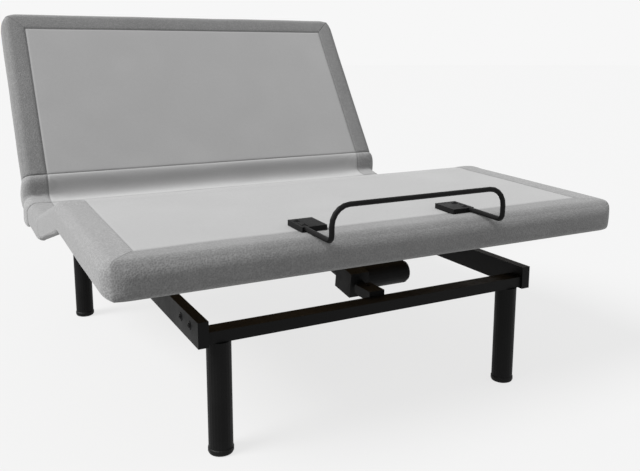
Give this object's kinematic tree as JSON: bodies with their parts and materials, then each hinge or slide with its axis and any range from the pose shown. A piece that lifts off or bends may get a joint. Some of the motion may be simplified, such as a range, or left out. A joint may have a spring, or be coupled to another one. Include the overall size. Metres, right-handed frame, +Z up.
{
  "type": "adjustable bed base",
  "caption": "Motorised adjustable bed base: upholstered head, seat, thigh and foot sections hinged on a black steel frame with round legs and a mattress retainer bar.",
  "frame": {"origin": "on the floor, under the middle of the part's box as it is stored (head and foot raised)", "axes": "+Y towards the head end, +X to the right seen from the foot end, +Z up"},
  "size_m": [1.3792, 1.762, 1.0369],
  "materials": {
    "painted_steel": "satin black powder coat",
    "black_plastic": "fine moulded grain",
    "border_fabric": "grey knitted upholstery, smoother and lighter on the centre panels",
    "board_wood": "raw strand board",
    "bright_steel": "bright drawn steel"
  },
  "bodies": {
    "base": {"front_cross_tube": "painted_steel", "centre_cross_tube": "painted_steel", "hip_cross_tube": "painted_steel", "left_rail": "painted_steel", "left_leg_outrigger": "painted_steel", "left_foot_end_leg": "painted_steel", "left_head_end_leg": "painted_steel", "left_hip_bracket": "painted_steel", "left_head_bracket": "painted_steel", "right_rail": "painted_steel", "right_leg_outrigger": "painted_steel", "right_foot_end_leg": "painted_steel", "right_head_end_leg": "painted_steel", "right_hip_bracket": "painted_steel", "right_head_bracket": "painted_steel", "left_foot_end_glide": "black_plastic", "left_head_end_glide": "black_plastic", "right_foot_end_glide": "black_plastic", "right_head_end_glide": "black_plastic", "seat_cross_tube": "painted_steel", "foot_actuator_clevis": "painted_steel", "head_actuator_clevis": "painted_steel", "seat_pad": "border_fabric", "lumbar_fabric": "border_fabric", "seat_board": "board_wood", "control_box": "black_plastic", "power_inlet": "black_plastic"},
    "thigh": {"thigh_pad": "border_fabric", "thigh_board": "board_wood", "left_thigh_tube": "painted_steel", "right_thigh_tube": "painted_steel"},
    "foot": {"foot_pad": "border_fabric", "foot_board": "board_wood", "foot_cross_tube": "painted_steel", "left_foot_tube": "painted_steel", "right_foot_tube": "painted_steel", "left_retainer_bracket": "black_plastic", "right_retainer_bracket": "black_plastic", "retainer_bar": "painted_steel", "side_retainer": "black_plastic"},
    "head": {"head_pad": "border_fabric", "head_board": "board_wood", "head_lower_cross_tube": "painted_steel", "head_upper_cross_tube": "painted_steel", "left_head_tube": "painted_steel", "right_head_tube": "painted_steel", "head_lever": "painted_steel"},
    "foot_lift": {"foot_lift_tube": "painted_steel", "left_lift_arm": "painted_steel", "right_lift_arm": "painted_steel"},
    "left_roller": {"left_lift_roller": "black_plastic"},
    "right_roller": {"right_lift_roller": "black_plastic"},
    "left_stay": {"left_foot_stay": "painted_steel"},
    "right_stay": {"right_foot_stay": "painted_steel"},
    "foot_actuator": {"foot_actuator_housing": "black_plastic", "foot_motor": "black_plastic"},
    "foot_rod": {"foot_actuator_rod": "bright_steel"},
    "head_actuator": {"head_actuator_housing": "black_plastic", "head_motor": "black_plastic"},
    "head_rod": {"head_actuator_rod": "bright_steel"}
  },
  "joints": [
    {"name": "thigh_lift", "type": "hinge", "parent": "base", "child": "thigh", "pos_m": [-0.01015, 0.1884, 0.3613], "axis": [-1, 0, 0], "range_deg": [-15.5, 19.5]},
    {"name": "knee_bend", "type": "hinge", "parent": "thigh", "child": "foot", "pos_m": [-0.01015, -0.22596, 0.47621], "axis": [1, 0, 0], "range_deg": [-17.15, 21.55]},
    {"name": "foot_lift_turn", "type": "hinge", "parent": "base", "child": "foot_lift", "pos_m": [-0.01015, -0.2516, 0.288], "axis": [1, 0, 0], "range_deg": [-7.02, 8.81]},
    {"name": "left_roller_turn", "type": "hinge", "parent": "foot_lift", "child": "left_roller", "pos_m": [-0.41565, 0.05361, 0.34233], "axis": [1, 0, 0], "continuous": true},
    {"name": "right_roller_turn", "type": "hinge", "parent": "foot_lift", "child": "right_roller", "pos_m": [0.39535, 0.05361, 0.34233], "axis": [1, 0, 0], "continuous": true},
    {"name": "left_stay_turn", "type": "hinge", "parent": "base", "child": "left_stay", "pos_m": [-0.43715, 0.14841, 0.3263], "axis": [-1, 0, 0], "range_deg": [-15.6, 19.6]},
    {"name": "right_stay_turn", "type": "hinge", "parent": "base", "child": "right_stay", "pos_m": [0.41685, 0.14841, 0.3263], "axis": [-1, 0, 0], "range_deg": [-15.6, 19.6]},
    {"name": "foot_actuator_pitch", "type": "hinge", "parent": "base", "child": "foot_actuator", "pos_m": [0.00385, -0.60759, 0.3], "axis": [1, 0, 0], "range_deg": [-0.278, 0.262]},
    {"name": "foot_rod_slide", "type": "slide", "parent": "foot_actuator", "child": "foot_rod", "axis": [0, 0.9892, 0.1464], "range_m": [-0.0102, 0.0082]},
    {"name": "head_lift", "type": "hinge", "parent": "base", "child": "head", "pos_m": [-0.01015, 0.41201, 0.3613], "axis": [1, 0, 0], "range_deg": [-55.7, 4.3], "deforming": ["lumbar_fabric"]},
    {"name": "head_actuator_pitch", "type": "hinge", "parent": "base", "child": "head_actuator", "pos_m": [0.00385, -0.05459, 0.239], "axis": [1, 0, 0], "range_deg": [-3.54, 0.46]},
    {"name": "head_rod_slide", "type": "slide", "parent": "head_actuator", "child": "head_rod", "axis": [0, 0.9984, 0.0574], "range_m": [-0.1092, 0.0089]}
  ],
  "couplings": [
    {"joint": "knee_bend", "follows": "thigh_lift", "ratio": 1.1},
    {"joint": "foot_lift_turn", "follows": "thigh_lift", "ratio": 0.4465},
    {"joint": "left_stay_turn", "follows": "thigh_lift", "ratio": 1},
    {"joint": "right_stay_turn", "follows": "thigh_lift", "ratio": 1},
    {"joint": "foot_actuator_pitch", "follows": "thigh_lift", "ratio": -0.004},
    {"joint": "foot_rod_slide", "follows": "thigh_lift", "m_per_rad": -0.0285},
    {"joint": "head_actuator_pitch", "follows": "head_lift", "ratio": 0.06},
    {"joint": "head_rod_slide", "follows": "head_lift", "m_per_rad": 0.11185}
  ]
}
